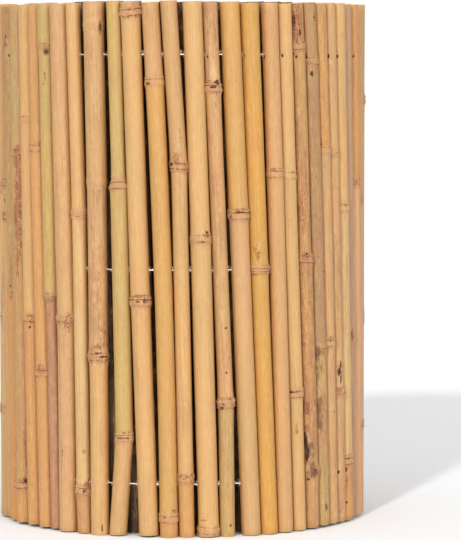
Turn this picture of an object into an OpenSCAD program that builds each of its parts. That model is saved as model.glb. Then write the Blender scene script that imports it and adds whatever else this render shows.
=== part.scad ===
// Rolled bamboo fence panel: whole canes, drilled at three heights and threaded on three wires.
// It stands on its cane feet. X runs left to right, Y from front to back and Z up. The origin is on
// the floor under the middle of the roll.

/* [Roll] */
// Height of the panel, which is the length of its longest canes
panel_h = 500; // [400:10:900]
// Radius of the outer turn, from the roll's middle to the middles of its canes
outer_turn_r = 170; // [165:1:220]
// Clear space between one turn of canes and the next
turn_clearance = 3; // [2:0.5:8]
// How far round the roll the foot of each cane stands from its head
roll_lean = 17; // [0:1:22]
// Canes from the loose outer end, at the back of the roll, to the front row
loose_end_canes = 10; // [4:1:14]
// Canes from the front row to the inner end
rolled_canes = 105; // [60:1:140]
// Canes that are kept together as one bundle, outside the front row
bundle_canes = 6; // [6:1:9]

/* [Canes] */
// Diameter of the thickest cane outside the front row
thick_cane_d = 19.5; // [17:0.5:22]
// Diameter of the thinnest cane outside the front row
thin_cane_d = 13; // [12:0.5:16]
// Difference in diameter between the two ends of such a cane
cane_taper = 1; // [0:0.1:1.2]
// Wall of a cane
cane_wall = 2.4; // [1.5:0.1:3]
// Clear space between two neighbouring canes where both have a node
cane_clearance = 0.3; // [0.2:0.1:2]
// The most that a cane outside the front row stops short of the panel's top or bottom
end_unevenness = 1.5; // [0:0.1:3]

/* [Nodes of the canes] */
// How far a node stands out from the cane
node_swell = 0.45; // [0.2:0.05:0.8]
// Height of a node's band, from the sheath scar to the end of its ridge
node_band_h = 9; // [6:0.5:12]
// Thickness of the septum that closes the cane at a node
septum_t = 3; // [1.5:0.5:5]
// Distance between two nodes of a cane outside the front row
internode_l = 215; // [160:5:260]

/* [Wires] */
// Diameter of the galvanised wire
wire_d = 1.4; // [1:0.1:1.8]
// Diameter of the holes that the wires pass through
wire_hole_d = 3; // [2.8:0.1:3.6]
// Distance of the top and bottom wires from the ends of the panel
wire_inset = 50; // [30:5:80]
// How far a wire lies below the middle of its holes
wire_sag = 0.55; // [0.2:0.05:0.6]
// Inner radius of the bend at each end of a wire
hook_bend_r = 1.5; // [1:0.1:3]
// Length of the bent leg at each end of a wire
hook_leg_l = 14; // [8:1:25]

/* [Hidden] */
$fn = 48;

STRAW = [0.90, 0.75, 0.48];
TAN = [0.88, 0.70, 0.49];
ORANGE = [0.88, 0.64, 0.38];
YELLOW = [0.88, 0.69, 0.35];
OLIVE = [0.80, 0.67, 0.40];
PINK = [0.84, 0.65, 0.48];
GREY = [0.70, 0.59, 0.47];
ZINC = [0.78, 0.79, 0.80];
CANE_COLOURS = [STRAW, TAN, ORANGE, YELLOW, OLIVE, PINK, GREY];

// The canes of the front row, from the left side round to the right. Each row has the diameter at the
// head and at the foot, the extra gap to the next cane at the head and at the foot, how far the cane
// stops short at the head and at the foot, the heights of its nodes, and its colour. A cane that grew
// bent has a bend as well: the height of the node where it bends, and how far that node stands to the
// right of the cane's straight line.
FRONT_ROW = [
    [16, 15, 0, 0, 3, 3, [294, 325], TAN],
    [17, 17, 0, 0, 3, 2.5, [220, 464], PINK],
    [18, 20, 0, 0, 3, 2.5, [40, 358], OLIVE],
    [16, 17, 0, 0, 2.5, 2.5, [200, 389], ORANGE],
    [14, 16, 0, 0, 2.5, 2, [149, 363], ORANGE],
    [17, 10, 0, 0, 2, 2, [219, 458], OLIVE],
    [19, 18, 0, 2, 2.5, 1, [201], PINK, [201, 2.5]],
    [13, 14, 6, 0, 2.5, 0.5, [41, 301], STRAW, [301, 1.5]],
    [20, 17, 3, 0, 2, 0, [166, 328, 475], TAN],
    [13, 17, 0, 11.5, 0.5, 0.5, [93, 329], OLIVE, [93, 8]],
    [17.5, 18.5, 1, 0, 1.5, 1.5, [221, 490], STRAW],
    [16, 17, 0, 0, 2, 0, [19, 425], YELLOW],
    [16, 14, 5, 2, 0, 0, [55, 345], TAN, [345, 4.5]],
    [15.5, 19.5, 1, 0, 1, 0, [7, 278], STRAW, [278, 1.6]],
    [13, 14.5, 2, 6, 1, 0, [125, 419], PINK, [125, 2.4]],
    [17.5, 18.5, 0, 0, 1, 0.5, [302], STRAW],
    [18.5, 16, 3, 0, 2, 0.5, [249], YELLOW],
    [15, 17, 0, 0, 2, 1, [340], TAN],
    [14, 14.5, 0, 0, 2.5, 1, [132, 338], STRAW],
    [12.5, 16, 0, 0, 1.5, 2, [58, 259, 459], PINK],
    [15, 14.5, 0, 0, 0.5, 2.5, [170, 444], OLIVE],
    [14, 14, 0, 0, 1, 2.5, [177, 361], ORANGE],
    [14, 13.5, 0, 0, 0.5, 2.5, [128, 356], TAN],
    [15.5, 16.5, 0, 0, 0.5, 2.5, [61, 305], YELLOW],
    [14, 14.5, 0, 0, 1, 3, [178], GREY],
    [18.5, 16, 0, 0, 1, 3, [327], ORANGE],
    [16, 16, 0, 0, 1, 3, [90, 310], TAN]
];

// Which cane of the front row stands in front of the roll's middle, and how far left of it
middle_in_row = 12;
middle_offset = 4.5;

// A node from below: height as a share of its band, and how far it stands out as a share of its swell
NODE_SECTION = [[-0.45, 0], [-0.3, 0.8], [-0.15, 0.25], [0.1, 1], [0.3, 0.75], [0.55, 0]];
node_reach = 0.55 * node_band_h;
// How deep the rims of the knuckle where a cane bends go into it
knuckle_rim = 1;
// How far an open hollow is drawn on past the end of its cane
mouth_spare = 4;
// How much thinner a wire is in its bent end, and how far that end reaches back into it
hook_thinner = 0.04;
hook_root_l = 0.5;

cane_count = loose_end_canes + len(FRONT_ROW) + rolled_canes;
first_in_row = loose_end_canes;
after_row = loose_end_canes + len(FRONT_ROW);
function in_front_row(i) = i >= first_in_row && i < after_row;

// Canes outside the front row differ by chance, and stand head up and head down in turn
CHANCE_SEED = 11;
CHANCES = 5;
chance = rands(0, 1, CHANCES * cane_count, CHANCE_SEED);
function chance_of(i, n) = chance[CHANCES * i + n];
function turned(i) = i % 2 == 0 ? 1 : -1;
function grown_d(i) = thin_cane_d + cane_taper / 2
    + (thick_cane_d - thin_cane_d - cane_taper) * chance_of(i, 0);
function short_end(share) = end_unevenness * max(0, 2 * share - 1);
function nodes_from(first) = [for (h = first; h < panel_h - node_reach; h = h + internode_l) h];
function grown_cane(i) = [
    grown_d(i) + turned(i) * cane_taper / 2,
    grown_d(i) - turned(i) * cane_taper / 2,
    0,
    0,
    short_end(chance_of(i, 1)),
    short_end(chance_of(i, 2)),
    nodes_from(node_reach + internode_l * chance_of(i, 3)),
    CANE_COLOURS[floor(len(CANE_COLOURS) * chance_of(i, 4))]
];

CANES = [for (i = [0 : cane_count - 1]) in_front_row(i) ? FRONT_ROW[i - first_in_row] : grown_cane(i)];
function head_d(i) = CANES[i][0];
function foot_d(i) = CANES[i][1];
function node_heights(i) = [for (h = CANES[i][6]) if (h > node_reach && h < panel_h - node_reach) h];
function cane_colour(i) = CANES[i][7];
function is_bent(i) = !is_undef(CANES[i][8]);
function bend_h(i) = CANES[i][8][0];
function bend_out(i) = CANES[i][8][1];

// Distance from the middle of one cane to that of the next, at the head and at the foot
spacing = 2 * node_swell + cane_clearance;
function head_step(i) = (head_d(i) + head_d(i + 1)) / 2 + CANES[i][2] + spacing;
function foot_step(i) = (foot_d(i) + foot_d(i + 1)) / 2 + CANES[i][3] + spacing;
HEAD_RUN = [for (i = 0, s = 0; i < cane_count; s = s + (i < cane_count - 1 ? head_step(i) : 0), i = i + 1) s];
FOOT_RUN = [for (i = 0, s = 0; i < cane_count; s = s + (i < cane_count - 1 ? foot_step(i) : 0), i = i + 1) s];

// The roll is a spiral of half turns: at the front from left to right, at the back from right to left,
// each half a pitch smaller than the one before. s is the distance along it from the left side.
widest_cane_d = max([for (i = [0 : cane_count - 1]) max(head_d(i), foot_d(i))]);
turn_pitch = widest_cane_d + 2 * node_swell + turn_clearance;
function turn_r(k) = outer_turn_r - k * turn_pitch / 2;
function turn_x(k) = abs(k) % 2 == 1 ? turn_pitch / 2 : 0;
function turn_start(k) = k < 0 ? -PI * turn_r(k) : k == 0 ? 0 : turn_start(k - 1) + PI * turn_r(k - 1);
function turn_at(s, k = 0) = s < 0 ? -1 : s < turn_start(k + 1) ? k : turn_at(s, k + 1);
function bearing_on(k, s) = 180 * (k + 1) + (s - turn_start(k)) / turn_r(k) * 180 / PI;
function bearing(s) = bearing_on(turn_at(s), s);
function spot(s, z) = let (k = turn_at(s), a = bearing(s))
    [turn_x(k) + turn_r(k) * cos(a), turn_pitch / 4 + turn_r(k) * sin(a), z];

// Where each cane stands on the spiral at any height, and its radius there
middle_s = outer_turn_r * PI / 2 - middle_offset;
middle_cane = first_in_row + middle_in_row;
function head_s(i) = middle_s - roll_lean / 2 + HEAD_RUN[i] - HEAD_RUN[middle_cane];
function foot_s(i) = middle_s + roll_lean / 2 + FOOT_RUN[i] - FOOT_RUN[middle_cane];
function bend_at(i, z) = !is_bent(i) ? 0
    : bend_out(i) * (z < bend_h(i) ? z / bend_h(i) : (panel_h - z) / (panel_h - bend_h(i)));
function cane_s(i, z) = foot_s(i) + (head_s(i) - foot_s(i)) * z / panel_h + bend_at(i, z);

// A cane gets thinner from node to node: each internode has one radius, that of its middle
function even_r(i, z) = (foot_d(i) + (head_d(i) - foot_d(i)) * z / panel_h) / 2;
function internode_ends(i) = concat([0], node_heights(i), [panel_h]);
function internode_at(i, z, j = 0) = j < len(node_heights(i)) && z > node_heights(i)[j]
    ? internode_at(i, z, j + 1) : j;
function cane_r(i, z) = let (ends = internode_ends(i), j = internode_at(i, z))
    even_r(i, (ends[j] + ends[j + 1]) / 2);

// A cane leans, and its ends are sawn square to it: the rims of its ends stand out past their middles
function rim_h(i, z, from_z, to_z) = let (way = spot(cane_s(i, to_z), to_z) - spot(cane_s(i, from_z), from_z))
    cane_r(i, z) * norm([way[0], way[1]]) / norm(way);
function foot_z(i) = CANES[i][5] + rim_h(i, 0, 0, is_bent(i) ? bend_h(i) : panel_h);
function head_z(i) = panel_h - CANES[i][4] - rim_h(i, panel_h, is_bent(i) ? bend_h(i) : 0, panel_h);

low_wire_z = wire_inset;
middle_wire_z = panel_h / 2;
high_wire_z = panel_h - wire_inset;

// Points up the outside of a cane from height z0 to z1, round every node between them
function node_outside(i, h) = let (up = turned(i), last = len(NODE_SECTION) - 1)
    [for (j = [0 : last]) let (p = NODE_SECTION[up > 0 ? j : last - j], z = h + up * p[0] * node_band_h)
        [cane_r(i, z) + p[1] * node_swell, z]];
function outside(i, z0, z1) = concat(
    [[0, z0], [cane_r(i, z0), z0]],
    [for (h = node_heights(i)) if (h > z0 + node_reach && h < z1 - node_reach) each node_outside(i, h)],
    [[cane_r(i, z1), z1], [0, z1]]
);

// The hollows of a cane as pairs of heights: between its septa, and open at both ends
function hollows(i) = let (
    floors = concat([-mouth_spare], [for (h = node_heights(i)) h + septum_t / 2]),
    roofs = concat([for (h = node_heights(i)) h - septum_t / 2], [panel_h + mouth_spare])
) [for (j = [0 : len(floors) - 1]) [floors[j], roofs[j]]];

module hollow_section(i, z0, z1)
    polygon([
        [0, z0],
        [cane_r(i, z0) - cane_wall, z0],
        [cane_r(i, z1) - cane_wall, z1],
        [0, z1]
    ]);

// A straight stretch of cane from height z0 to z1, along the line between its places on the spiral
module stretch(i, z0, z1) {
    from = spot(cane_s(i, z0), z0);
    way = spot(cane_s(i, z1), z1) - from;
    translate(from)
        rotate([0, acos(way[2] / norm(way)), atan2(way[1], way[0])])
            rotate([0, 0, 90])
                rotate_extrude()
                    translate([0, -z0])
                        difference() {
                            polygon(outside(i, z0, z1));
                            for (h = hollows(i)) hollow_section(i, h[0], h[1]);
                        }
}

// The swollen node that joins the two stretches of a bent cane
module knuckle(i, h) {
    r = cane_r(i, h);
    translate(spot(cane_s(i, h), h))
        rotate_extrude()
            polygon(concat(
                [[0, -node_reach], [r - knuckle_rim, -node_reach]],
                [for (p = NODE_SECTION) if (p[1] > 0) [r + p[1] * node_swell, p[0] * node_band_h]],
                [[r - knuckle_rim, node_reach], [0, node_reach]]
            ));
}

module wire_hole(i, z)
    translate(spot(cane_s(i, z), z))
        rotate([90, 0, bearing(cane_s(i, z))])
            cylinder(d = wire_hole_d, h = 2 * widest_cane_d, center = true);

module cane(i)
    color(cane_colour(i))
        difference() {
            if (is_bent(i)) {
                stretch(i, foot_z(i), bend_h(i));
                stretch(i, bend_h(i), head_z(i));
                knuckle(i, bend_h(i));
            }
            else stretch(i, foot_z(i), head_z(i));
            wire_hole(i, low_wire_z);
            wire_hole(i, middle_wire_z);
            wire_hole(i, high_wire_z);
        }

module bundle(first, end) for (i = [first : min(first + bundle_canes, end) - 1]) cane(i);

// The bent end of a wire: on from a point in the direction of a bearing, then down. It starts inside
// the end of the wire, and is a little thinner there.
module hook(s, z, way) {
    r = hook_bend_r + wire_d / 2;
    d = wire_d - hook_thinner;
    translate(spot(s, z))
        rotate([0, 0, bearing(s) + way * 90])
            translate([0, 0, -r]) {
                translate([0, 0, r]) rotate([0, -90, 0]) cylinder(d = d, h = hook_root_l);
                rotate([90, 0, 0]) rotate_extrude(angle = 90) translate([r, 0]) circle(d = d);
                translate([r, 0, -hook_leg_l]) cylinder(d = d, h = hook_leg_l);
            }
}

// A wire through the holes of every cane, at height z
module wire(z) {
    last = cane_count - 1;
    start = cane_s(0, z) - cane_r(0, z);
    end = cane_s(last, z) + cane_r(last, z);
    color(ZINC) {
        for (k = [turn_at(start) : turn_at(end)]) {
            from = bearing_on(k, max(start, turn_start(k)));
            to = bearing_on(k, min(end, turn_start(k + 1)));
            translate([turn_x(k), turn_pitch / 4, z - wire_sag])
                mirror([0, k < 0 ? 1 : 0, 0])
                    rotate([0, 0, k < 0 ? to : from])
                        rotate_extrude(angle = to - from) translate([turn_r(k), 0]) circle(d = wire_d);
        }
        hook(start, z - wire_sag, -1);
        hook(end, z - wire_sag, 1);
    }
}

FRONT_NODES = [for (n = [1 : len(FRONT_ROW)]) str("front_cane_", n < 10 ? "0" : "", n)];
LOOSE_BUNDLES = [for (i = 0; i < first_in_row; i = i + bundle_canes) i];
LOOSE_NODES = [for (n = [1 : len(LOOSE_BUNDLES)]) str("loose_end_canes_", n)];
ROLLED_BUNDLES = [for (i = after_row; i < cane_count; i = i + bundle_canes) i];
ROLLED_NODES = [for (n = [1 : len(ROLLED_BUNDLES)]) str("rolled_canes_", n < 10 ? "0" : "", n)];

wire(high_wire_z);  // top_wire
wire(middle_wire_z);  // middle_wire
wire(low_wire_z);  // bottom_wire
for (n = [0 : len(FRONT_NODES) - 1])
    cane(first_in_row + n);
for (n = [0 : len(LOOSE_NODES) - 1])
    bundle(LOOSE_BUNDLES[n], first_in_row);
for (n = [0 : len(ROLLED_NODES) - 1])
    bundle(ROLLED_BUNDLES[n], cane_count);
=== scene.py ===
"""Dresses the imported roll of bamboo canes: grown skins with nodes, stains and torn fibres, sawn ends
with their hollows, and bright galvanised wires, on a pale floor in soft light."""
import math

import bpy
import numpy as np
from mathutils import Matrix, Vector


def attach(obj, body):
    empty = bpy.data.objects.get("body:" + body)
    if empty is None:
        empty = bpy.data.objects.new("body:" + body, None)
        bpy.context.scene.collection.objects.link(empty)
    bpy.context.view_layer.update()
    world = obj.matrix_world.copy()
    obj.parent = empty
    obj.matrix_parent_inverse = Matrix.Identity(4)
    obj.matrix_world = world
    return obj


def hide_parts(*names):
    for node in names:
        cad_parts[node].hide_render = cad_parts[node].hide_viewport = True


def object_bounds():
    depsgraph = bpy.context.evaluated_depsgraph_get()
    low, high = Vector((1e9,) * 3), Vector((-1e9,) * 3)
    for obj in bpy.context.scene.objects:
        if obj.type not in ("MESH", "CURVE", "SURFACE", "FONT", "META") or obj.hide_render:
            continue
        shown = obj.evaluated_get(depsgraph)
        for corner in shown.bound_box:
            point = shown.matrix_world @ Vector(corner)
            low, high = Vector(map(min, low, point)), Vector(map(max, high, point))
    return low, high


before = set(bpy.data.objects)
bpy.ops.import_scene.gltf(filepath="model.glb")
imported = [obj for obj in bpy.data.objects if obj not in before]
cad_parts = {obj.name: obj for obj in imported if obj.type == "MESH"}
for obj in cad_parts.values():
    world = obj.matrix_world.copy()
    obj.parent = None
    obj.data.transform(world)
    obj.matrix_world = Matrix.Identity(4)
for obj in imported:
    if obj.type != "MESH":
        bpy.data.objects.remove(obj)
cad_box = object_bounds()

MM = 0.001
IMAGE_W, IMAGE_H = 461, 540

# Camera, in front of the roll and a little below its top
EYE = np.array([0.0, -3.076, 0.427])
YAW = math.radians(0.875)
PITCH = math.radians(3.485)
FOCAL_PX = 3142.0
SENSOR_MM = 36.0

# Sizes that the solids have
WIRE_HEIGHTS = (50 * MM, 250 * MM, 450 * MM)
WALL = 2.4 * MM
SEPTUM = 3.0 * MM
SHORTEST_CANE = 0.4
NODE_SWELL = 0.45 * MM
NODE_HALF_H = 6 * MM
# Canes whose middles stand further than this from the roll's middle are seen from outside
OUTER_TURN_R = 0.15

# Heights of the skin's rings at a node, from its middle: fine ones for canes that are seen close to
NODE_STEPS = np.array([
    -9, -6.5, -5.2, -4.4, -3.8, -3.4, -3, -2.6, -2.2, -1.8, -1.3, -0.6,
    0.2, 1, 1.6, 2.2, 2.8, 3.2, 3.6, 4, 4.6, 5.6, 7.2, 10,
]) * MM
PLAIN_NODE_STEPS = np.array([-6, -3.4, -2.2, 0, 2.2, 3.6, 6]) * MM

# How fine a cane's skin is: points round it, distance between its rings, and its rings at a node
FRONT_FINENESS = (52, 6.5 * MM, NODE_STEPS)
OUTER_FINENESS = (32, 14 * MM, NODE_STEPS[::2])
INNER_FINENESS = (16, 28 * MM, PLAIN_NODE_STEPS)

# How far the nodes of a cane stand out where they are roughest
FRONT_SWELL = 1.15 * MM
OUTER_SWELL = 1.0 * MM
INNER_SWELL = 0.6 * MM

# Painted shade: the share of its tone that a cane of an inner turn keeps on the side that faces out, into the
# dark
INNER_PAINTED_SHADE_LEVEL = 0.07


# View of the photograph
def view_axes():
    """Right, up and forward of the camera: forward is turned right by YAW and down by PITCH."""
    forward = np.array([math.sin(YAW) * math.cos(PITCH), math.cos(YAW) * math.cos(PITCH), -math.sin(PITCH)])
    right = np.array([math.cos(YAW), -math.sin(YAW), 0.0])
    return right, np.cross(right, forward), forward


def pixels(points):
    """Where points fall in the image, by central projection, and how many pixels a metre is there."""
    right, up, forward = view_axes()
    d = np.asarray(points, float) - EYE
    depth = d @ forward
    x = IMAGE_W / 2 + FOCAL_PX * (d @ right) / depth
    y = IMAGE_H / 2 - FOCAL_PX * (d @ up) / depth
    return x, y, FOCAL_PX / depth


def make_camera():
    right, up, forward = view_axes()
    data = bpy.data.cameras.new("camera")
    data.sensor_fit = "AUTO"
    data.sensor_width = SENSOR_MM
    data.lens = FOCAL_PX / max(IMAGE_W, IMAGE_H) * SENSOR_MM
    data.clip_end = 100.0
    camera = bpy.data.objects.new("camera", data)
    turned = np.eye(4)
    turned[:3, 0], turned[:3, 1], turned[:3, 2], turned[:3, 3] = right, up, -forward, EYE
    camera.matrix_world = Matrix(turned.tolist())
    bpy.context.scene.collection.objects.link(camera)
    bpy.context.scene.camera = camera


# Canes as the solids have them
def smooth(x):
    """0 below 0, 1 above 1, and 3x^2 - 2x^3 between."""
    x = np.clip(x, 0, 1)
    return x * x * (3 - 2 * x)


def shells(node):
    """The connected shells of a CAD node that run the height of the panel, as arrays of points, in the
    order of their canes. Triangles that share a corner get the lower of their labels until none changes."""
    mesh = node.data
    points = np.empty(len(mesh.vertices) * 3, np.float32)
    mesh.vertices.foreach_get("co", points)
    points = points.reshape(-1, 3)
    loops = np.empty(len(mesh.loops), np.int32)
    mesh.loops.foreach_get("vertex_index", loops)
    merged, where = np.unique(np.round(points, 7), axis=0, return_inverse=True)
    tri = where.ravel()[loops].reshape(-1, 3)
    label = np.arange(len(merged))
    while True:
        before = label.copy()
        low = label[tri].min(1)
        for corner in range(3):
            np.minimum.at(label, tri[:, corner], low)
        label = label[label]
        if (label == before).all():
            break
    found = []
    for one in np.unique(label):
        part = merged[label == one].astype(float)
        if np.ptp(part[:, 2]) > SHORTEST_CANE:
            found.append(part)
    return found


def ring_middle(points):
    """Middle of the largest circle among points, from their box."""
    return (points.min(0) + points.max(0)) / 2


class Cane:
    """One cane: the middles of its foot and head, and of the node where it bends, the radius of each
    internode, and its nodes as pairs of height and which way up it grew (1 or -1)."""

    def __init__(self, points, bend_height=None):
        z = points[:, 2]
        reach = 2.4 * MM if bend_height else 1.2 * MM
        self.foot = ring_middle(points[z < z.min() + reach])
        self.head = ring_middle(points[z > z.max() - reach])
        self.z0, self.z1 = self.foot[2], self.head[2]
        self.line = [self.foot, self.head]
        if bend_height:
            knuckle = ring_middle(points[np.abs(z - bend_height) < 4 * MM])
            self.line.insert(1, np.array([knuckle[0], knuckle[1], bend_height]))
        self.line = np.array(self.line)
        middle = (self.foot + self.head) / 2
        outward = np.array([middle[0], middle[1], 0.0])
        self.outward = outward / np.linalg.norm(outward)
        self.along_wire = np.array([-self.outward[1], self.outward[0], 0.0])
        self.bow = 0.0
        self.sway = 0.0
        off = np.linalg.norm((points - self.axis(z))[:, :2], axis=1)
        self.read_nodes(z, off)

    def axis(self, z):
        """Middle of the cane at height z: straight lines between the middles of foot, bend and head, moved
        along the wire by the bow, a parabola that is 0 at foot and head, and by the sway, a step to one
        side and the other at each node in turn."""
        z = np.asarray(z, float)
        share = (z - self.z0) / (self.z1 - self.z0)
        at = np.stack([np.interp(z, self.line[:, 2], self.line[:, k]) for k in (0, 1)] + [z], -1)
        aside = self.bow * 4 * share * (1 - share)
        if self.sway:
            heights = [self.z0] + [h for h, _ in self.nodes] + [self.z1]
            steps = [0.0] + [self.sway * (-1) ** k for k in range(len(self.nodes))] + [0.0]
            aside = aside + np.interp(z, heights, steps)
        return at + aside[..., None] * self.along_wire

    def read_nodes(self, z, off):
        """Finds the nodes, as the heights where the points stand furthest off the axis, by no more than a
        node swells, and the radius of each internode, as the furthest that its points stand off."""
        order = np.argsort(z)
        z, off = z[order], off[order]
        peaks = []
        for k in np.flatnonzero(off > np.median(off)):
            near = np.abs(z - z[k]) < NODE_HALF_H
            if off[k] < off[near].max() - 0.01 * MM:
                continue
            drop = off[k] - off[near]
            swells = ((drop > 0.2 * MM) & (drop < 2 * NODE_SWELL)).any()
            if swells and not any(abs(z[k] - p) < NODE_HALF_H for p in peaks):
                peaks.append(z[k])
        self.nodes = []
        for p in peaks:
            near = np.abs(z - p) < NODE_HALF_H
            band = near & (off > off[near].max() - 1.3 * MM)
            height = (z[band].min() + z[band].max()) / 2
            self.nodes.append((height, 1 if p > height else -1))
        edges = [self.z0 - 1] + [h for h, _ in self.nodes] + [self.z1 + 1]
        self.radii = []
        for low, high in zip(edges, edges[1:]):
            inside = (z > low + 3.4 * MM) & (z < high - 3.4 * MM)
            self.radii.append(off[inside].max() if inside.any() else off.max() - NODE_SWELL)

    def radius_at(self, z):
        """Radius of the internode at one height."""
        return self.radii[min(sum(h < z for h, _ in self.nodes), len(self.radii) - 1)]


# What each front cane looks like
def srgb(r, g, b):
    """A colour as the eye names it, 0 to 255, turned to linear light."""
    c = np.array([r, g, b], float) / 255
    return np.where(c <= 0.04045, c / 12.92, ((c + 0.055) / 1.055) ** 2.4)


TONES = {
    "straw": srgb(180, 142, 92),
    "tan": srgb(175, 136, 92),
    "orange": srgb(176, 128, 76),
    "yellow": srgb(178, 132, 62),
    "olive": srgb(161, 134, 85),
    "pink": srgb(174, 134, 94),
    "grey": srgb(158, 124, 98),
    "green": srgb(166, 140, 84),
    "brown": srgb(164, 123, 78),
    "cream": srgb(182, 150, 101),
    "honey": srgb(176, 134, 75),
    "dun": srgb(146, 115, 78),
    "russet": srgb(158, 114, 86),
    "rose": srgb(186, 144, 110),
}

# Painted shade: how much deeper and warmer the sides of an outer cane are made where they face its neighbours
SIDE_PAINTED_SHADE = np.array([0.92, 0.73, 0.53])

# What the tones of the other canes are drawn from: straw and tan are the most common
OTHER_TONES = ["straw"] * 5 + ["tan"] * 4 + [
    "yellow", "orange", "orange", "olive", "green", "pink", "grey", "brown",
]

# Each front cane in turn, from its foot up: the tone of every internode with how weathered it is, 0 to 9,
# and how rough every node is, 0 to 9
FRONT = [
    ("tan3 tan4 brown5", "99"), ("orange2 olive6 brown8", "35"), ("orange5 brown4 olive4", "84"),
    ("orange2 straw1 straw2", "52"), ("orange2 orange1 orange2", "95"), ("russet5 green2 green2", "65"),
    ("tan3 tan3", "7"), ("brown5 cream2 straw1", "95"), ("straw3 tan7 tan4 tan3", "911"),
    ("tan2 green2 green2", "57"), ("straw2 straw1 tan7", "89"), ("orange2 honey2 tan3", "65"),
    ("orange2 straw3 tan2", "69"), ("pink2 straw2 straw1", "76"), ("olive4 tan5 pink7", "99"),
    ("tan1 honey1", "8"), ("yellow1 yellow2", "7"), ("tan1 tan2", "5"), ("straw1 straw2 straw1", "63"),
    ("brown6 brown9 brown7 brown9", "867"), ("olive7 dun5 dun3", "86"), ("tan4 tan3 orange6", "54"),
    ("tan5 tan5 tan2", "85"), ("orange4 cream3 straw1", "95"), ("grey3 grey2", "6"), ("rose2 orange3", "5"),
    ("rose3 rose2 tan2", "44"),
]

# By the number of the front cane, in millimetres: the height of the node at which it bends, and how far
# it is bowed along the wire
BENDS = {7: 201, 8: 301, 10: 93, 13: 345, 14: 278, 15: 125}
BOWS = {9: 1.0, 12: 3.0, 20: 1.6, 21: 2.2, 22: 1.6, 23: 1.4, 24: 0.7}

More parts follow.
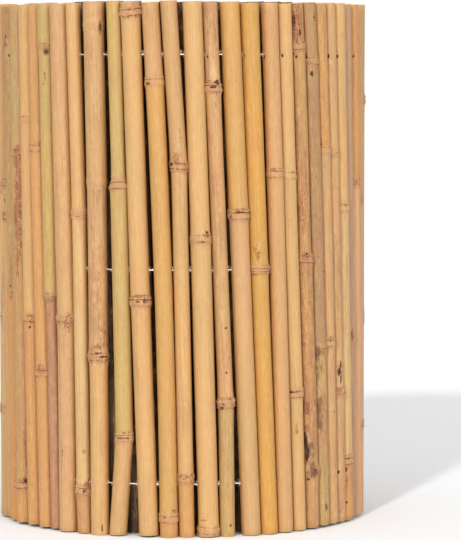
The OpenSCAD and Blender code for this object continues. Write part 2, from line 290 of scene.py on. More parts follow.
# Marks on the front canes, by the number of the cane: place in the image, half width and half height in
# pixels, kind and strength
MARKS = {
    1: [(4, 45, 2, 6, "rust", 0.5), (5, 195, 2, 13, "soot", 0.4), (4, 216, 2.5, 6, "rust", 0.6)],
    2: [
        (5, 42, 2.5, 8, "rust", 0.6), (6, 37, 1.6, 2.5, "soot", 0.8), (4.5, 46, 1.4, 2, "soot", 0.7),
        (8.8, 55.8, 1.1, 1.8, "shaded_hole", 1), (10.7, 286, 1.4, 1.8, "soot", 0.8),
        (13.4, 292, 1.2, 1.4, "soot", 0.8), (11, 297, 1.2, 1.4, "soot", 0.7),
    ],
    3: [
        (18, 148, 3, 4, "rust", 0.9), (17, 160, 4.5, 10, "rust", 0.95), (18.5, 184, 4, 17, "rust", 1),
        (17, 212, 4.5, 17, "rust", 1), (18.5, 240, 3.6, 17, "rust", 0.95),
        (17.5, 264, 3, 15, "rust", 0.7), (26, 440, 3, 28, "rust", 0.5), (28, 452, 1.6, 12, "soot", 0.6),
        (27, 462, 1.8, 5, "soot", 0.7), (24, 479, 6, 4, "rust", 0.8), (27, 479, 3, 2.4, "soot", 0.8),
        (29, 470, 1.5, 3, "fray", 0.9),
    ],
    4: [
        (30, 318, 5, 7, "rust", 0.4), (30, 327, 1.4, 1.8, "soot", 0.8),
        (41, 472, 1.4, 1.6, "shaded_hole", 0.9),
    ],
    5: [(38, 145, 4, 5, "rust", 0.35), (54, 474, 1.5, 1.8, "shaded_hole", 0.9), (41, 369, 5, 8, "rust", 0.45)],
    6: [
        (46, 51.5, 2.6, 3.2, "bud", 1), (53.4, 54.6, 1.1, 1.7, "shaded_hole", 1),
        (45, 78, 2.4, 9, "rust", 0.4), (45, 74, 1, 1.4, "soot", 0.6), (44, 84, 1, 1.6, "soot", 0.6),
        (54, 298, 5, 5, "rust", 0.4),
    ],
    7: [(69.2, 54, 1.1, 1.7, "shaded_hole", 1), (68, 325, 7, 16, "rust", 0.42), (62, 450, 2, 26, "soot", 0.3)],
    8: [
        (84, 451, 1.6, 2.2, "bud", 0.4), (88, 486, 6, 7, "rust", 0.55), (84, 490, 3, 2, "soot", 0.55),
        (90, 490, 5, 4, "fray", 0.7),
    ],
    9: [
        (99.7, 27, 1.7, 6, "bud", 1), (105.5, 54, 1.3, 1.6, "shaded_hole", 1), (102, 346, 10, 4, "rust", 0.55),
        (103, 356, 5, 1.3, "soot", 0.8), (98, 352, 4, 1, "soot", 0.6), (95, 362, 3, 5, "fray", 0.9),
        (112, 362, 3, 5, "fray", 0.9), (102, 527, 1, 3.8, "soot", 0.9), (104, 330, 9, 11, "rust", 0.3),
    ],
    10: [
        (116, 181, 7, 5, "fray", 0.35), (124, 437, 9, 1.4, "soot", 0.55), (124, 432, 9, 2, "rust", 0.4),
    ],
    11: [
        (133, 10, 8, 5, "rust", 0.4), (142.4, 57, 1, 2, "rust", 0.9), (140, 295, 9, 1.6, "rust", 0.85),
        (145, 300.5, 3, 3, "soot", 0.9), (138, 301, 3, 1.2, "soot", 0.6), (141, 304, 5, 4, "fray", 0.6),
    ],
    12: [
        (148, 83, 3, 1.3, "soot", 0.8), (165, 516, 2, 1.6, "soot", 0.6), (169, 514, 8, 3, "fray", 0.5),
        (174, 511, 3, 3, "rust", 0.5),
    ],
    13: [
        (178, 142, 4, 18, "fray", 0.6), (180, 138, 2, 16, "rust", 0.4), (177, 158, 7, 8, "rust", 0.42),
        (172, 164, 3, 1.8, "soot", 0.75), (181, 168, 4, 3, "fray", 0.8),
        (177, 172, 3, 1.2, "soot", 0.5), (186, 476, 6, 2.5, "rust", 0.6), (183, 479, 4, 3, "fray", 0.5),
        (189.5, 57, 1, 1.6, "rust", 0.8),
    ],
    14: [
        (205, 235, 7, 3, "rust", 0.5), (207, 232, 3, 1.6, "soot", 0.6), (203, 241, 4, 1.4, "soot", 0.4),
        (204, 232, 6, 5, "fray", 0.45), (205, 517, 5, 2, "fray", 0.5), (203, 519, 5, 1.2, "rust", 0.5),
    ],
    15: [
        (206.9, 56.6, 1.1, 1.7, "shaded_hole", 0.9), (214, 72, 6, 15, "fray", 0.9),
        (217, 82, 3.4, 2.6, "soot", 1), (213, 87, 3.5, 1.2, "soot", 0.9),
        (220, 79, 1.8, 2.4, "soot", 0.7), (210, 80, 2, 1.2, "soot", 0.6), (216, 86, 7, 4, "rust", 0.4),
        (216, 100, 7, 12, "rust", 0.25), (226, 327, 1.3, 1.6, "soot", 0.9),
        (229.5, 357, 1, 1.4, "soot", 0.8), (226, 372, 1.3, 1.6, "soot", 0.8),
        (225, 398, 8, 2, "rust", 0.85), (224, 403, 6, 1.2, "soot", 0.65),
        (223, 407, 2.2, 1.6, "soot", 0.7), (231, 525, 1.5, 1.8, "soot", 0.7),
    ],
    16: [
        (240, 212, 6, 1.3, "soot", 0.85), (240, 209, 8, 1.4, "rust", 0.8),
        (232, 216, 3, 2, "soot", 0.5),
    ],
    17: [
        (243.6, 55.7, 1, 1.6, "shaded_hole", 0.8), (258, 252, 7, 16, "rust", 0.35),
        (259, 267, 8, 5, "fray", 0.6),
    ],
    18: [
        (263.7, 57, 1.2, 1.5, "shaded_hole", 0.9), (275, 484, 2, 4, "fray", 1), (273, 169, 7, 3, "rust", 0.45),
    ],
    19: [
        (282, 55.5, 1.3, 1.7, "shaded_hole", 1), (291, 391, 6, 1.4, "soot", 0.6),
        (297, 428, 2, 7, "rust", 0.5), (291, 172, 7, 3, "rust", 0.4),
    ],
    20: [
        (297, 24, 6, 24, "rust", 0.6), (294, 20, 1.8, 6, "soot", 0.7), (300, 32, 1.6, 4, "soot", 0.5),
        (296, 57, 1.2, 1.6, "shaded_hole", 1), (302, 210, 6, 30, "rust", 0.4), (306, 406, 5, 8, "rust", 0.85),
        (304, 343, 2, 2, "rust", 0.8), (305.5, 439, 2.2, 9, "soot", 1.2),
        (307, 452, 2.2, 7, "soot", 1.3), (306, 440, 5, 24, "stain", 0.8),
        (304.5, 405, 5, 9, "stain", 1), (311, 448, 4, 12, "stain", 0.8),
        (305, 445, 3.6, 12, "rust", 0.7), (313, 469, 6, 9, "stain", 0.9), (309, 466, 4, 6, "fray", 0.7),
        (315, 469, 3, 1.4, "soot", 0.6), (308, 478, 2, 1.3, "soot", 0.9), (305, 256, 6, 5, "rust", 0.6),
        (306, 254, 4, 1.4, "soot", 0.6),
    ],
    21: [
        (314, 17, 1.8, 5, "soot", 0.6), (306, 56.6, 1.5, 2, "shaded_hole", 1), (310, 61, 5, 4, "rust", 0.6),
        (312, 74, 2.2, 3, "soot", 0.85), (324, 272, 1.2, 1.5, "soot", 0.8),
        (317, 352, 5, 9, "stain", 1), (320, 366, 5, 10, "rust", 0.45), (321, 405, 4, 14, "rust", 0.45),
        (320, 408, 4, 14, "stain", 1), (317, 374, 3, 10, "stain", 0.7), (320, 420, 4, 10, "stain", 0.8),
        (326, 505, 2, 7, "soot", 0.55),
    ],
    22: [
        (318, 56.5, 1, 1.5, "shaded_hole", 0.8), (318, 120, 2, 26, "rust", 0.7),
        (321, 142, 1.4, 6, "soot", 0.7), (331, 411, 1.2, 1.4, "soot", 0.8),
        (334.5, 411, 1, 1.2, "soot", 0.7), (331, 338, 5, 4, "rust", 0.5),
    ],
    23: [
        (328, 55.8, 1.6, 2, "shaded_hole", 1), (330, 62, 2, 3, "fray", 0.8), (341, 364, 1.6, 3.5, "soot", 0.9),
        (339, 371, 2.4, 4, "soot", 0.85), (341, 379, 1.4, 4, "soot", 0.8),
        (340, 370, 5, 12, "rust", 0.4), (338.5, 471, 1.4, 1.7, "shaded_hole", 1),
        (340, 389, 4, 4, "rust", 0.5),
    ],
    24: [
        (337, 56, 1.4, 1.8, "shaded_hole", 1), (346, 468, 1.8, 2.6, "soot", 0.8),
        (347, 482, 1.8, 10, "rust", 0.6), (346.5, 501, 1.2, 1.5, "soot", 0.8),
        (348, 457, 4, 2, "rust", 0.6),
    ],
    25: [(352, 334, 3, 7, "rust", 0.5)],
    26: [(353.6, 56, 1.2, 1.6, "shaded_hole", 0.9), (356, 181, 4, 3, "rust", 0.4)],
}


# The materials of a cane, by their place on its mesh
SKIN, HOLLOW, SAWN = 0, 1, 2

# Splinters at a drilled hole: their spread, count and length. At a frayed place: their count and length.
HOLE_SPLINTERS = (1.6 * MM, 7, 3.2 * MM)
FRAY_SPLINTERS = (6, 2.6 * MM)

# Angles at which the wires enter and leave a cane, and the radius of the worn hole there
WIRE_SIDES = (math.pi / 2, -math.pi / 2)
HOLE_R = 1.5 * MM

# A hollow between septum and cut end that is shorter than this has no straight wall
SHORT_HOLLOW = 9 * MM

# Kinds of mark, and what the skin's material reads at each point besides its tint
MARK_KINDS = ("soot", "rust", "fray", "shaded_hole", "bud", "stain")
SKIN_FIELDS = ("knot", "band", "bloom", "weather") + MARK_KINDS

# The least half size of a mark on a front cane
LEAST_MARK = 0.9 * MM

# Marks that the canes seen from outside may have where the photograph doesn't show them: kind, the most
# of them on one cane, half width and half height in millimetres
CHANCE_MARKS = (("bud", 2, 2.2, 3), ("soot", 5, 1.4, 1.8), ("rust", 3, 4, 8), ("fray", 2, 3.5, 4))


# Growing the surfaces
def ripple(rng, around, along, waves):
    """Sum of sines with random phases in angle and height, between about -1 and 1: an uneven surface.
    Each wave has its count round the cane and its length along it in metres."""
    total = np.zeros(np.broadcast(around, along).shape)
    for count, length in waves:
        phase = rng.uniform(0, 2 * math.pi)
        total = total + np.sin(count * around + 2 * math.pi * along / length + phase) / len(waves)
    return total


def ring_heights(cane, spacing, node_steps, marks):
    """Heights of the rings of a cane's skin: even steps, with closer ones at its nodes and marks."""
    low, high = cane.z0 + 0.35 * MM, cane.z1 - 0.35 * MM
    parts = [np.linspace(low, high, int((high - low) / spacing) + 2)]
    parts += [h + way * node_steps for h, way in cane.nodes]
    for mark in marks:
        parts.append(mark["z"] + mark["high"] * np.linspace(-1.3, 1.3, 9))
    z = np.sort(np.concatenate(parts))
    z = z[(z >= low) & (z <= high)]
    keep = [low]
    for value in z:
        if value - keep[-1] > 0.3 * MM:
            keep.append(value)
    keep[-1] = high
    return np.array(keep)


def skin_radius(cane, rng, z, angle, swell, rough):
    """Radius of the skin over height and angle: the internode radii with smooth steps at the nodes, plus
    for each node a long flare and a broad bulge with a scar ridge and a round ridge on it, each a bell
    curve across its height, slanted and uneven round the cane, plus a slight oval and ripples. Also
    returns the dark lines, the ruddy band and the mottled zone of the nodes, more where a node is rough."""
    r = np.full(z.shape, cane.radii[0])
    for (h, way), below, above in zip(cane.nodes, cane.radii, cane.radii[1:]):
        r = r + (above - below) * smooth((z - h) / (8 * MM) + 0.5)
    oval = rng.uniform(0.004, 0.014)
    r = r * (1 + oval * np.cos(2 * (angle - rng.uniform(0, math.pi))))
    r = r + 0.09 * MM * ripple(rng, angle, z, [(3, 0.21), (5, 0.13), (2, 0.09), (7, 0.047), (4, 0.033)])
    knot = np.zeros(np.broadcast(z, angle).shape)
    band = np.zeros_like(knot)
    bloom = np.zeros_like(knot)
    for (h, way), wild in zip(cane.nodes, rough):
        slant = (0.3 + wild) * rng.uniform(0.3, 0.8) * np.cos(angle - rng.uniform(0, 2 * math.pi))
        wavy = ripple(rng, angle, z, [(3, 1), (7, 1), (11, 1)])
        u = way * (z - h) / MM - slant + (0.1 + 0.3 * wild) * wavy
        uneven = 1 + (0.2 + 0.4 * wild) * ripple(rng, angle, z, [(2, 1), (5, 1), (9, 0.05)])
        bulge = smooth((u + 6) / 4) * smooth((7 - u) / 5)
        scar = np.exp(-((u + 3.0) / 0.7) ** 2)
        ridge = np.exp(-((u - 2.2) / 1.3) ** 2)
        furrow = np.exp(-((u + 1.9) / 0.45) ** 2)
        flare = np.exp(-(u / 13) ** 2)
        high = swell * (0.2 + 0.9 * wild)
        stands = 0.7 * bulge * uneven + 0.45 * scar * uneven + 0.4 * ridge * uneven
        r = r + high * (stands - 0.4 * furrow + 0.3 * flare)
        lower = (0.3 + 0.7 * wild) * np.exp(-((u + 2.2) / 0.45) ** 2) * uneven
        upper = rng.uniform(0.2, 0.9) * (0.2 + wild) * np.exp(-((u - 3.6) / 0.45) ** 2) * uneven
        knot = np.maximum(np.maximum(knot, lower), upper)
        for _ in range(int(round(wild * 5))):
            part = smooth(0.5 + 1.2 * np.cos(angle - rng.uniform(0, 2 * math.pi)))
            line = np.exp(-((u - rng.uniform(-5, 5)) / 0.4) ** 2) * part * rng.uniform(0.3, 0.9)
            knot = np.maximum(knot, line)
            r = r - 0.16 * MM * line
        ruddy = rng.uniform(0.4, 1) * smooth((u + 3.4) / 0.8) * smooth((4.6 - u) / 1.4) * uneven
        band = np.maximum(band, ruddy)
        mottled = (0.15 + 0.85 * wild) * smooth((u + 10) / 6) * smooth((9 - u) / 5)
        fading = 0.55 * wild * np.exp(-np.abs(u + 1) / 15)
        bloom = np.maximum(bloom, np.maximum(mottled, fading))
    return r, {"knot": knot, "band": band, "bloom": bloom}


def weathered(cane, levels, z, angle, rng):
    """How weathered the skin is: each internode's level, changing near the nodes, patchy round the cane."""
    worn = np.full(np.broadcast(z, angle).shape, levels[0], float)
    for (h, way), level in zip(cane.nodes, levels[1:]):
        worn += (level - worn) * smooth((z - h) / (5 * MM) + 0.5)
    patchy = 1 + 0.5 * ripple(rng, angle, z, [(1, 0.21), (2, 0.12), (1, 0.06), (3, 0.04)])
    return np.clip(worn * patchy, 0, 1)


def place_marks(cane, number):
    """Turns a front cane's marks from places in the image into heights, angles and half sizes in metres:
    the height is where the cane's line crosses the mark's row, and the angle comes from how far across
    the cane the mark is, as seen from the camera."""
    z = np.linspace(cane.z0, cane.z1, 800)
    at = cane.axis(z)
    x, y, scale = pixels(at)
    placed = []
    for px, py, half_w, half_h, kind, strength in MARKS.get(number, ()):
        k = int(np.abs(y - py).argmin())
        to_eye = EYE - at[k]
        facing = math.atan2(to_eye @ cane.along_wire, to_eye @ cane.outward)
        across = np.clip((px - x[k]) / (cane.radius_at(z[k]) * scale[k]), -0.92, 0.92)
        # Angles grow against the clock seen from above, and the image's right is the other way round
        angle = facing + math.asin(across)
        placed.append({
            "z": z[k], "angle": angle, "kind": kind, "strength": strength,
            "wide": max(half_w / scale[k], LEAST_MARK), "high": max(half_h / scale[k], LEAST_MARK),
        })
    return placed


def chance_marks(cane, rng):
    """A few marks anywhere on the outward half of a cane that the photograph doesn't show: buds, flecks,
    brown blotches and frayed places, some of them beside a node."""
    placed = []
    for kind, most, wide, high in CHANCE_MARKS:
        for _ in range(rng.integers(most + 1)):
            z = rng.uniform(cane.z0 + 15 * MM, cane.z1 - 15 * MM)
            if cane.nodes and rng.random() < 0.5:
                z = cane.nodes[rng.integers(len(cane.nodes))][0] + rng.normal(0, 4) * MM
            size = rng.uniform(0.7, 1.4) * MM
            placed.append({
                "z": z, "angle": rng.uniform(-1.3, 1.3), "wide": wide * size, "high": high * size,
                "kind": kind, "strength": rng.uniform(0.4, 0.9),
            })
    return placed


def around_from(angle, side):
    """How far round each angle is from a side, between minus half a turn and half a turn."""
    return (angle - side + math.pi) % (2 * math.pi) - math.pi


def lay_marks(marks, z, angle, r):
    """Strength of each kind of mark over the skin: a flat-topped bell over the distance from its middle."""
    fields = {kind: np.zeros(np.broadcast(z, angle).shape) for kind in MARK_KINDS}
    for mark in marks:
        turn = around_from(angle, mark["angle"])
        far = (turn * r / mark["wide"]) ** 2 + ((z - mark["z"]) / mark["high"]) ** 2
        field = mark["strength"] * np.exp(-far ** 1.5)
        fields[mark["kind"]] = np.maximum(fields[mark["kind"]], field)
    return fields


def tone_along(cane, tones, z, angle, rng, painted_shade_level):
    """Colour of the skin: each internode's tone, changing within a few millimetres of the nodes, a little
    deeper along one side, and drifting slowly along the cane. On the outer turn, painted shade deepens and
    warms the sides that face the neighbouring canes. On an inner turn, the last argument is the share of
    the tone that painted shade leaves on the side that faces out."""
    shape = np.broadcast(z, angle).shape + (3,)
    colour = np.broadcast_to(tones[0], shape).copy()
    for (h, way), tone in zip(cane.nodes, tones[1:]):
        colour += (tone - colour) * smooth((z - h) / (9 * MM) + 0.5)[..., None]
    side = 0.5 + 0.5 * np.cos(angle - rng.uniform(0, 2 * math.pi))
    drift = ripple(rng, angle, z, [(0, 0.43), (1, 0.31), (1, 0.17), (2, 0.11)])
    warm = np.array([1.0, 0.90, 0.74])
    amount = (rng.uniform(0.1, 0.6) * side + 0.3 * drift)[..., None]
    colour = colour * (1 + (warm - 1) * amount) * (1 + 0.05 * drift[..., None])
    if painted_shade_level < 1:
        # painted shade: the side of an inner cane that faces out is darkened
        outward_painted_shade = smooth((np.cos(angle) + 0.7) / 0.9)[..., None]
        return np.clip(colour * (1 + (painted_shade_level - 1) * outward_painted_shade), 0, 1)
    # painted shade: the sides of an outer cane that face its neighbours are made deeper and warmer
    side_shade = smooth((0.62 - np.cos(angle)) / 0.55)[..., None]
    return np.clip(colour * (1 + (SIDE_PAINTED_SHADE - 1) * side_shade), 0, 1)


def drill(r, marked, z, angle):
    """Sinks the skin at both sides of each wire by a flat-topped bell over the distance from the hole's
    middle, and marks the hole."""
    for h in WIRE_HEIGHTS:
        for side in WIRE_SIDES:
            turn = around_from(angle, side)
            pit = np.exp(-(((turn * r) / HOLE_R) ** 2 + ((z - h) / HOLE_R) ** 2) ** 2)
            r = r - 1.3 * MM * pit
            marked["shaded_hole"] = np.maximum(marked["shaded_hole"], pit)
    return r


def cut_end(end, septum, bore, skin, saw):
    """Rows of one end of a cane, from the middle of its last septum along the wall of the hollow and over
    the sawn ring to the skin, as radius, height and material. The sawn ring is uneven by the saw's marks,
    always inwards. A hollow too short for a wall of its own is closed by one slanted row."""
    inward = 1 if septum > end else -1
    one = np.ones_like(skin)
    sawn = end * one + inward * np.abs(saw)
    ring = [
        (bore + 0.3 * MM, sawn, SAWN),
        ((bore + skin) / 2, sawn, SAWN),
        (skin - 0.3 * MM, sawn, SAWN),
    ]
    if abs(septum - end) < SHORT_HOLLOW:
        return [(0.55 * bore, (end + 0.6 * (septum - end)) * one, HOLLOW)] + ring
    return [
        (0.55 * bore, septum * one, HOLLOW),
        (0.93 * bore, (septum - inward * 0.5 * MM) * one, HOLLOW),
        (bore, (septum - inward * 2 * MM) * one, HOLLOW),
        (bore, (end + inward * 6 * MM) * one, HOLLOW),
        (bore + 0.05 * MM, (end + inward * 0.3 * MM) * one, HOLLOW),
    ] + ring


def wrap(rows, around):
    """Four-sided faces between neighbouring rings, and a fan of triangles from each end's ring to its pole.
    The poles are the two points after the rings."""
    ring = np.arange(rows * around).reshape(rows, around)
    right = np.roll(ring, -1, 1)
    quads = np.stack([ring[:-1], right[:-1], right[1:], ring[1:]], -1).reshape(-1, 4)
    foot_fan = np.stack([right[0], ring[0], np.full(around, rows * around)], -1)
    head_fan = np.stack([ring[-1], right[-1], np.full(around, rows * around + 1)], -1)
    return quads, np.concatenate([foot_fan, head_fan])


def grow(cane, rng, tones, levels, rough, fineness, swell, marks=(), painted_shade_level=1.0):
    """One cane as a closed grid of rings: from the septum in the foot hollow down its inner wall, out over
    the sawn foot, up the skin, over the sawn head and down to the top septum. Returns points, faces, the
    material of each face and the fields on the points."""
    around, spacing, node_steps = fineness
    angle = (np.arange(around) / around * 2 * math.pi)[None, :]
    z = ring_heights(cane, spacing, node_steps, marks)[:, None]
    r, ringed = skin_radius(cane, rng, z, angle, swell, rough)
    marked = lay_marks(marks, z, angle, r)
    sunk = 1.1 * MM * np.minimum(marked["shaded_hole"] * 1.5, 1)
    r = r - sunk + 0.12 * MM * marked["fray"] + 0.3 * MM * marked["bud"]
    r = drill(r, marked, z, angle)
    colour = tone_along(cane, tones, z, angle, rng, painted_shade_level)

    saw = 0.12 * MM * ripple(rng, angle, np.zeros((1, 1)), [(1, 1), (3, 1), (8, 1)])
    foot_bore = r[:1] - WALL * rng.uniform(0.85, 1.1)
    head_bore = r[-1:] - WALL * rng.uniform(0.85, 1.1)
    low, high = cane.nodes[0][0] - SEPTUM / 2, cane.nodes[-1][0] + SEPTUM / 2
    foot_rows = cut_end(cane.z0, low, foot_bore, r[:1], saw)
    head_rows = cut_end(cane.z1, high, head_bore, r[-1:], saw)[::-1]
    skin_rows = [(r, np.broadcast_to(z, r.shape), SKIN)]
    radius, height = (np.concatenate([row[k] for row in foot_rows + skin_rows + head_rows]) for k in (0, 1))
    kind = np.array([row[2] for row in foot_rows] + [SKIN] * len(z) + [row[2] for row in head_rows])

    def spread(field):
        """The field of the skin, carried on unchanged over the rows of both ends."""
        field = np.broadcast_to(field, r.shape + field.shape[2:])
        return np.concatenate([
            np.repeat(field[:1], len(foot_rows), 0), field, np.repeat(field[-1:], len(head_rows), 0),
        ])

    axis = cane.axis(height)
    lean = (cane.head - cane.foot) / np.linalg.norm(cane.head - cane.foot)
    e1 = cane.outward - (cane.outward @ lean) * lean
    e1 = e1 / np.linalg.norm(e1)
    e2 = np.cross(lean, e1)
    points = axis + radius[..., None] * (np.cos(angle)[..., None] * e1 + np.sin(angle)[..., None] * e2)
    grain = np.stack([radius * np.cos(angle), radius * np.sin(angle), height], -1) + rng.uniform(0, 3, 3)
    poles = np.stack([cane.axis(height[0, 0]), cane.axis(height[-1, 0])])
    fields = {**ringed, "weather": weathered(cane, levels, z, angle, rng), **marked}
    quads, fans = wrap(len(radius), around)
    return {
        "points": np.concatenate([points.reshape(-1, 3), poles]),
        "quads": quads,
        "fans": fans,
        "quad_kind": np.repeat(np.maximum(kind[:-1], kind[1:]), around),
        "fan_kind": np.full(2 * around, HOLLOW),
        "fields": {name: np.concatenate([spread(field).ravel(), [0, 0]]) for name, field in fields.items()},
        "tint": np.concatenate([spread(colour).reshape(-1, 3), colour[:1, 0], colour[-1:, 0]]),
        "grain": np.concatenate([grain.reshape(-1, 3), grain[[0, -1]].mean(1)]),
    }


def splinters(cane, rng, spots):
    """Torn fibres as slivers of two stretches: a triangle at the skin, a smaller one half way out and a
    tip, pushed sideways along a bend. Spots hold the height, angle, spread in metres, count and length."""
    z, angle, length = [], [], []
    for at_z, at_angle, wide, count, long in spots:
        z.append(at_z + wide * rng.uniform(-1, 1, count))
        angle.append(at_angle + wide / cane.radii[0] * rng.uniform(-1, 1, count))
        length.append(long * rng.uniform(0.5, 1.3, count))
    z, angle, length = np.concatenate(z), np.concatenate(angle), np.concatenate(length)
    level = np.array([cane.radius_at(one) for one in z])
    normal = np.cos(angle)[:, None] * cane.outward + np.sin(angle)[:, None] * cane.along_wire
    start = cane.axis(z) + (level - 0.2 * MM)[:, None] * normal
    up = np.array([0, 0, 1.0])
    outwards = normal * rng.uniform(0.25, 0.9, (len(z), 1))
    upwards = up * rng.choice([-1, 1], (len(z), 1)) * rng.uniform(0.4, 1, (len(z), 1))
    along = outwards + upwards
    along = along + 0.5 * np.cross(normal, up) * rng.uniform(-1, 1, (len(z), 1))
    along /= np.linalg.norm(along, axis=1)[:, None]
    side = np.cross(along, normal)
    side /= np.linalg.norm(side, axis=1)[:, None]
    other = np.cross(along, side)
    bend = other * rng.uniform(-0.25, 0.25, (len(z), 1)) * length[:, None]
    thick = rng.uniform(0.16, 0.34, (len(z), 1)) * MM
    corners = []
    for share, size in ((0.0, 1.0), (0.55, 0.75)):
        middle = start + along * (share * length)[:, None] + bend * share ** 2
        for turn in (0, 2 * math.pi / 3, 4 * math.pi / 3):
            corners.append(middle + size * thick * (math.cos(turn) * side + math.sin(turn) * other))
    corners.append(start + along * length[:, None] + bend)
    points = np.stack(corners, 1)
    first = (np.arange(len(z)) * 7)[:, None]
    quads = np.concatenate([first + np.array(side) for side in ((0, 1, 4, 3), (1, 2, 5, 4), (2, 0, 3, 5))])
    fans = np.concatenate([first + np.array(face) for face in ((3, 4, 6), (4, 5, 6), (5, 3, 6), (0, 2, 1))])
    count = len(z) * 7
    tone = np.repeat(srgb(216, 196, 162) * rng.uniform(0.75, 1.1, (len(z), 1)), 7, 0)
    fields = {name: np.zeros(count) for name in SKIN_FIELDS}
    return {
        "points": points.reshape(-1, 3), "quads": quads, "fans": fans, "quad_kind": np.zeros(len(quads)),
        "fan_kind": np.zeros(len(fans)), "fields": fields, "tint": tone, "grain": points.reshape(-1, 3),
    }


def make_piece(name, grown, materials):
    """Joins grown canes into one mesh with its fields as attributes, and three materials. No point leaves
    the box of the solids."""
    offset, points, quads, fans = 0, [], [], []
    for one in grown:
        points.append(one["points"])
        quads.append(one["quads"] + offset)
        fans.append(one["fans"] + offset)
        offset += len(one["points"])
    kinds = [one["quad_kind"] for one in grown] + [one["fan_kind"] for one in grown]
    points, quads, fans = np.concatenate(points), np.concatenate(quads), np.concatenate(fans)
    points = np.clip(points, *cad_box)
    mesh = bpy.data.meshes.new(name)
    mesh.vertices.add(len(points))
    mesh.vertices.foreach_set("co", points.astype(np.float32).ravel())
    corners = np.concatenate([quads.ravel(), fans.ravel()])
    mesh.loops.add(len(corners))
    mesh.loops.foreach_set("vertex_index", corners.astype(np.int32))
    starts = np.concatenate([np.arange(len(quads)) * 4, len(quads) * 4 + np.arange(len(fans)) * 3])
    mesh.polygons.add(len(starts))
    mesh.polygons.foreach_set("loop_start", starts.astype(np.int32))
    mesh.polygons.foreach_set("material_index", np.concatenate(kinds).astype(np.int32))
    mesh.update(calc_edges=True)
    mesh.validate()
    mesh.polygons.foreach_set("use_smooth", np.ones(len(mesh.polygons), bool))
    for field in grown[0]["fields"]:
        values = np.concatenate([one["fields"][field] for one in grown])
        mesh.attributes.new(field, "FLOAT", "POINT").data.foreach_set("value", values.astype(np.float32))
    grain = np.concatenate([one["grain"] for one in grown])
    along_grain = mesh.attributes.new("grain", "FLOAT_VECTOR", "POINT")
    along_grain.data.foreach_set("vector", grain.astype(np.float32).ravel())
    tint = np.concatenate([one["tint"] for one in grown])
    tint = np.concatenate([tint, np.ones((len(tint), 1))], 1)
    tinted = mesh.attributes.new("tint", "FLOAT_COLOR", "POINT")
    tinted.data.foreach_set("color", tint.astype(np.float32).ravel())
    for material in materials:
        mesh.materials.append(material)
    piece = bpy.data.objects.new(name, mesh)
    bpy.context.scene.collection.objects.link(piece)
    return piece


# Shader maths
class Value:
    """A socket that carries numbers. Arithmetic on it adds Math nodes."""

    def __init__(self, recipe, socket):
        self.recipe, self.socket = recipe, socket

    def maths(self, operation, first, second):
        return self.recipe.node("ShaderNodeMath", {0: first, 1: second}, operation=operation)

    def __add__(self, other):
        return self.maths("ADD", self, other)

    def __radd__(self, other):
        return self.maths("ADD", other, self)

    def __sub__(self, other):
        return self.maths("SUBTRACT", self, other)

    def __rsub__(self, other):
        return self.maths("SUBTRACT", other, self)

    def __mul__(self, other):
        return self.maths("MULTIPLY", self, other)

    def __rmul__(self, other):
        return self.maths("MULTIPLY", other, self)

    def rise(self, low, high):
        """0 below low, 1 above high, smooth between."""
        ins = {0: self, 1: low, 2: high}
        return self.recipe.node("ShaderNodeMapRange", ins, interpolation_type="SMOOTHSTEP")

    def most(self, other):
        return self.maths("MAXIMUM", self, other)


class Recipe:
    """A material under construction: a tree with a surface shader."""

    def __init__(self, name):
        self.material = bpy.data.materials.new(name)
        self.material.use_nodes = True
        self.tree = self.material.node_tree
        self.tree.nodes.clear()
        self.surface = self.tree.nodes.new("ShaderNodeBsdfPrincipled")
        output = self.tree.nodes.new("ShaderNodeOutputMaterial")
        self.tree.links.new(self.surface.outputs[0], output.inputs["Surface"])

    def node(self, kind, ins=None, out=0, **settings):
        """Adds a node of a kind, with its settings first, then the values or links of its sockets."""
        made = self.tree.nodes.new(kind)
        for name, value in settings.items():
            setattr(made, name, value)
        for key, value in (ins or {}).items():
            self.put(made.inputs[key], value)
        return Value(self, made.outputs[out])

    def put(self, socket, value):
        if isinstance(value, Value):
            self.tree.links.new(value.socket, socket)
        else:
            socket.default_value = value

    def field(self, name, out="Fac"):
        return self.node("ShaderNodeAttribute", out=out, attribute_name=name, attribute_type="GEOMETRY")

    def noise(self, where, scale, detail=2.0, rough=0.5):
        ins = {"Vector": where, "Scale": scale, "Detail": detail, "Roughness": rough}
        return self.node("ShaderNodeTexNoise", ins)

    def stretched(self, where, x, y, z):
        return self.node("ShaderNodeVectorMath", {0: where, 1: (x, y, z)}, operation="MULTIPLY")

    def blend(self, below, above, share):
        """Colour above over colour below, by share."""
        return self.node("ShaderNodeMix", {0: share, 6: below, 7: above}, out=2, data_type="RGBA")

    def shade(self, **sockets):
        for name, value in sockets.items():
            self.put(self.surface.inputs[name.replace("_", " ")], value)

    def bump(self, height, strength, distance):
        return self.node("ShaderNodeBump", {"Height": height, "Strength": strength, "Distance": distance})


def colour(*rgb):
    return (*[float(c) for c in srgb(*rgb)], 1.0)


